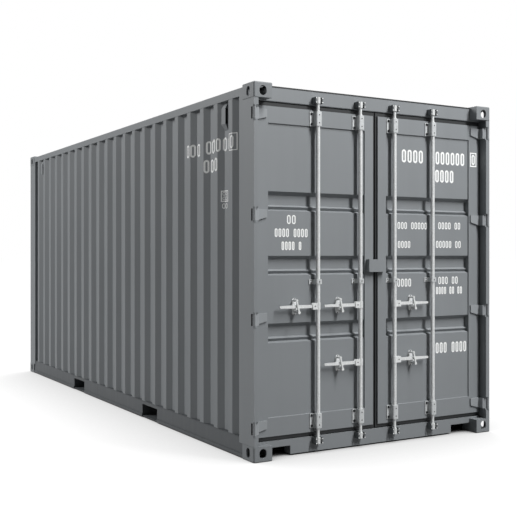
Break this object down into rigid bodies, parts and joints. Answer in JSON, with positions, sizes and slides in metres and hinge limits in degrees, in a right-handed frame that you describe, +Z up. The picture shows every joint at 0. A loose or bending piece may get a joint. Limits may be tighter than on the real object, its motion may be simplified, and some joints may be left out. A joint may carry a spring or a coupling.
{
  "type": "shipping container",
  "caption": "High steel cargo container with corrugated walls, hollow corner castings, fork pockets and two hinged doors with turning lock rods, handles and catches.",
  "frame": {"origin": "on the ground under the middle of the box, at the height of the feet of the bottom corner castings", "axes": "+X along the length towards the doors, +Y across the width to the right of someone who faces the doors, +Z up"},
  "size_m": [6.058, 2.438, 2.896],
  "materials": {
    "painted_steel": "satin dark grey paint",
    "painted_casting": "satin dark grey paint on rough cast steel",
    "zinc_steel": "dull hot dip zinc",
    "seal_rubber": "matt black",
    "plywood": "sealed reddish plywood"
  },
  "bodies": {
    "container": {"door_posts": "painted_steel", "rear_posts": "painted_steel", "top_side_rails": "painted_steel", "bottom_side_rails": "painted_steel", "door_header": "painted_steel", "door_sill": "painted_steel", "rear_header": "painted_steel", "rear_sill": "painted_steel", "side_wall_left": "painted_steel", "side_wall_right": "painted_steel", "rear_wall": "painted_steel", "roof": "painted_steel", "cross_members": "painted_steel", "fork_pockets": "painted_steel", "fork_pocket_plates": "painted_steel", "bottom_rail_webs": "painted_steel", "vents": "painted_steel", "corner_castings_top": "painted_casting", "corner_castings_bottom": "painted_casting", "hinge_lugs": "painted_steel", "cam_keepers": "zinc_steel", "floor": "plywood"},
    "door_left": {"door_frame_left": "painted_steel", "door_panel_left": "painted_steel", "door_gasket_left": "seal_rubber", "hinge_blades_left": "painted_steel", "rod_brackets_left": "zinc_steel", "handle_catches_left": "zinc_steel", "lock_lug": "painted_steel"},
    "door_right": {"door_frame_right": "painted_steel", "door_panel_right": "painted_steel", "door_gasket_right": "seal_rubber", "hinge_blades_right": "painted_steel", "rod_brackets_right": "zinc_steel", "handle_catches_right": "zinc_steel", "lock_box": "painted_steel"},
    "lock_rod_left_outer_body": {"lock_rod_left_outer": "zinc_steel"},
    "lock_rod_left_inner_body": {"lock_rod_left_inner": "zinc_steel"},
    "lock_rod_right_inner_body": {"lock_rod_right_inner": "zinc_steel"},
    "lock_rod_right_outer_body": {"lock_rod_right_outer": "zinc_steel"},
    "handle_left_outer_body": {"handle_left_outer": "zinc_steel"},
    "handle_left_inner_upper_body": {"handle_left_inner_upper": "zinc_steel"},
    "handle_left_inner_lower_body": {"handle_left_inner_lower": "zinc_steel"},
    "handle_right_inner_upper_body": {"handle_right_inner_upper": "zinc_steel"},
    "handle_right_inner_lower_body": {"handle_right_inner_lower": "zinc_steel"},
    "catch_flap_left_outer_body": {"catch_flap_left_outer": "zinc_steel"},
    "catch_flap_left_inner_upper_body": {"catch_flap_left_inner_upper": "zinc_steel"},
    "catch_flap_left_inner_lower_body": {"catch_flap_left_inner_lower": "zinc_steel"},
    "catch_flap_right_inner_upper_body": {"catch_flap_right_inner_upper": "zinc_steel"},
    "catch_flap_right_inner_lower_body": {"catch_flap_right_inner_lower": "zinc_steel"}
  },
  "joints": [
    {"name": "door_left_swing", "type": "hinge", "parent": "container", "child": "door_left", "pos_m": [3.015, -1.205, 1.448], "axis": [0, 0, -1], "range_deg": [0, 270]},
    {"name": "door_right_swing", "type": "hinge", "parent": "container", "child": "door_right", "pos_m": [3.015, 1.205, 1.448], "axis": [0, 0, 1], "range_deg": [0, 270]},
    {"name": "lock_rod_left_outer_turn", "type": "hinge", "parent": "door_left", "child": "lock_rod_left_outer_body", "pos_m": [2.974, -0.597, 1.448], "axis": [0, 0, -1], "range_deg": [-100, 0]},
    {"name": "lock_rod_left_inner_turn", "type": "hinge", "parent": "door_left", "child": "lock_rod_left_inner_body", "pos_m": [2.974, -0.178, 1.448], "axis": [0, 0, -1], "range_deg": [-100, 0]},
    {"name": "lock_rod_right_inner_turn", "type": "hinge", "parent": "door_right", "child": "lock_rod_right_inner_body", "pos_m": [2.974, 0.178, 1.448], "axis": [0, 0, 1], "range_deg": [-100, 0]},
    {"name": "lock_rod_right_outer_turn", "type": "hinge", "parent": "door_right", "child": "lock_rod_right_outer_body", "pos_m": [2.974, 0.597, 1.448], "axis": [0, 0, 1], "range_deg": [-100, 0]},
    {"name": "handle_left_outer_lift", "type": "hinge", "parent": "lock_rod_left_outer_body", "child": "handle_left_outer_body", "pos_m": [2.978, -0.633, 1.17], "axis": [-1, 0, 0], "range_deg": [0, 7]},
    {"name": "handle_left_inner_upper_lift", "type": "hinge", "parent": "lock_rod_left_inner_body", "child": "handle_left_inner_upper_body", "pos_m": [2.978, -0.214, 1.17], "axis": [-1, 0, 0], "range_deg": [0, 7]},
    {"name": "handle_left_inner_lower_lift", "type": "hinge", "parent": "lock_rod_left_inner_body", "child": "handle_left_inner_lower_body", "pos_m": [2.978, -0.214, 0.7], "axis": [-1, 0, 0], "range_deg": [0, 7]},
    {"name": "handle_right_inner_upper_lift", "type": "hinge", "parent": "lock_rod_right_inner_body", "child": "handle_right_inner_upper_body", "pos_m": [2.978, 0.214, 1.17], "axis": [1, 0, 0], "range_deg": [0, 7]},
    {"name": "handle_right_inner_lower_lift", "type": "hinge", "parent": "lock_rod_right_inner_body", "child": "handle_right_inner_lower_body", "pos_m": [2.978, 0.214, 0.7], "axis": [1, 0, 0], "range_deg": [0, 7]},
    {"name": "catch_flap_left_outer_swing", "type": "hinge", "parent": "door_left", "child": "catch_flap_left_outer_body", "pos_m": [2.994, -0.809, 1.219], "axis": [1, 0, 0], "range_deg": [0, 120]},
    {"name": "catch_flap_left_inner_upper_swing", "type": "hinge", "parent": "door_left", "child": "catch_flap_left_inner_upper_body", "pos_m": [2.994, -0.39, 1.219], "axis": [1, 0, 0], "range_deg": [0, 120]},
    {"name": "catch_flap_left_inner_lower_swing", "type": "hinge", "parent": "door_left", "child": "catch_flap_left_inner_lower_body", "pos_m": [2.994, -0.39, 0.749], "axis": [1, 0, 0], "range_deg": [0, 120]},
    {"name": "catch_flap_right_inner_upper_swing", "type": "hinge", "parent": "door_right", "child": "catch_flap_right_inner_upper_body", "pos_m": [2.994, 0.37, 1.219], "axis": [1, 0, 0], "range_deg": [0, 120]},
    {"name": "catch_flap_right_inner_lower_swing", "type": "hinge", "parent": "door_right", "child": "catch_flap_right_inner_lower_body", "pos_m": [2.994, 0.37, 0.749], "axis": [1, 0, 0], "range_deg": [0, 120]}
  ]
}
